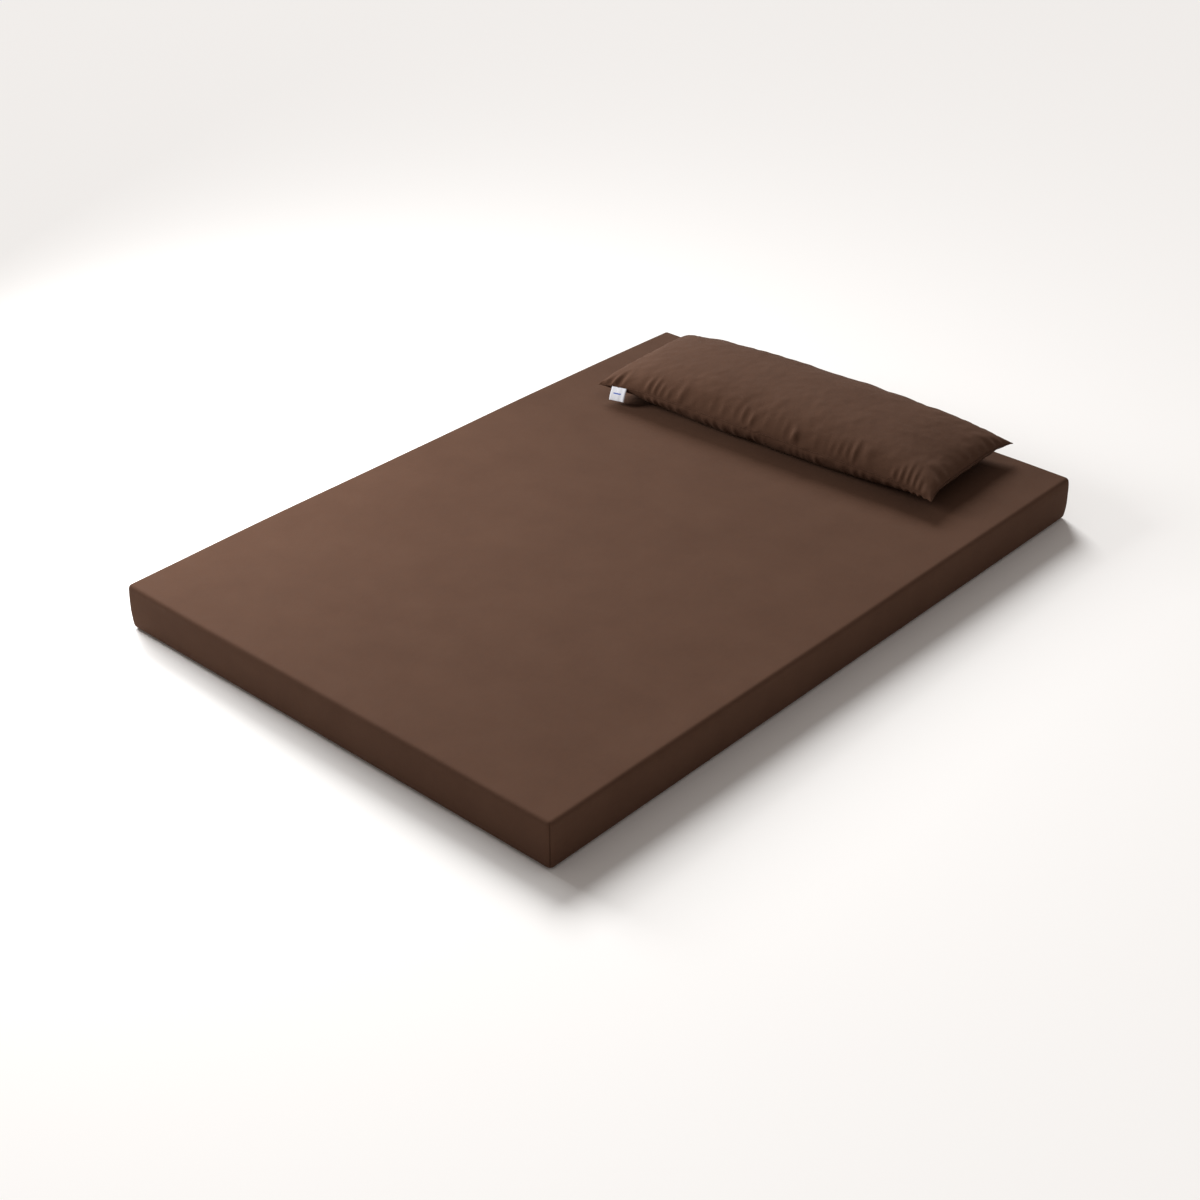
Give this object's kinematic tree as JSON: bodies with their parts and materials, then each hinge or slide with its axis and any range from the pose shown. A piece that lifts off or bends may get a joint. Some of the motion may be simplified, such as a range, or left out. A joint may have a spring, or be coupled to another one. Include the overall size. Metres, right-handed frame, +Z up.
{
  "type": "futon mattress",
  "caption": "Flat boxed futon mattress in a zip-off brown cotton cover, with a matching long pillow lying at its head end.",
  "frame": {"origin": "middle of the mattress's underside, on the floor", "axes": "+X across the bed, +Y towards the head end where the pillow lies, +Z up"},
  "size_m": [1.4, 2.0042, 0.2492],
  "materials": {
    "cover_cloth": "matte brown plain-weave cotton, slightly mottled",
    "lining_cloth": "matte off-white lining",
    "wadding": "white polyester wadding",
    "foam": "pale yellow open-cell foam",
    "zip_tape": "dark brown twill tape",
    "zip_coil": "dark brown nylon coil",
    "zip_metal": "satin antique bronze lacquer",
    "label_ribbon": "white woven ribbon with a plain blue band"
  },
  "bodies": {
    "mattress": {"cover_shell": "cover_cloth", "cover_base": "cover_cloth", "corner_seam_foot_left": "cover_cloth", "corner_seam_foot_right": "cover_cloth", "corner_seam_head_left": "cover_cloth", "corner_seam_head_right": "cover_cloth", "cover_zip_tape_upper": "zip_tape", "cover_zip_tape_lower": "zip_tape", "cover_zip_coil_upper": "zip_coil", "cover_zip_coil_lower": "zip_coil", "cover_zip_stops": "zip_metal", "liner_top": "lining_cloth", "liner_base": "lining_cloth", "upper_wadding": "wadding", "foam_core": "foam", "lower_wadding": "wadding"},
    "cover_zip_slider": {"cover_zip_slider": "zip_metal"},
    "cover_zip_pull": {"cover_zip_pull": "zip_metal"},
    "pillow": {"pillowcase_top": "cover_cloth", "pillowcase_base": "cover_cloth", "pillowcase_seam": "cover_cloth", "pillow_bag_top": "lining_cloth", "pillow_bag_base": "lining_cloth", "pillow_filling": "wadding", "pillow_zip_tape_upper": "zip_tape", "pillow_zip_tape_lower": "zip_tape", "pillow_zip_coil_upper": "zip_coil", "pillow_zip_coil_lower": "zip_coil", "pillow_zip_stops": "zip_metal", "pillow_label": "label_ribbon"},
    "pillow_zip_slider": {"pillow_zip_slider": "zip_metal"},
    "pillow_zip_pull": {"pillow_zip_pull": "zip_metal"}
  },
  "joints": [
    {"name": "pillow_lift", "type": "slide", "parent": "mattress", "child": "pillow", "axis": [0, 0, 1], "range_m": [0, 0.3]},
    {"name": "cover_zip_slide", "type": "slide", "parent": "mattress", "child": "cover_zip_slider", "axis": [1, 0, 0], "range_m": [0, 1.186]},
    {"name": "cover_zip_pull_swing", "type": "hinge", "parent": "cover_zip_slider", "child": "cover_zip_pull", "pos_m": [-0.595, 1.0027, 0.06], "axis": [0, 0, 1], "range_deg": [0, 170]},
    {"name": "pillow_zip_slide", "type": "slide", "parent": "pillow", "child": "pillow_zip_slider", "axis": [0.9986, 0.0523, 0], "range_m": [0, 0.586]},
    {"name": "pillow_zip_pull_swing", "type": "hinge", "parent": "pillow_zip_slider", "child": "pillow_zip_pull", "pos_m": [-0.31241, 0.92482, 0.178], "axis": [0, 0, 1], "range_deg": [0, 170]}
  ]
}
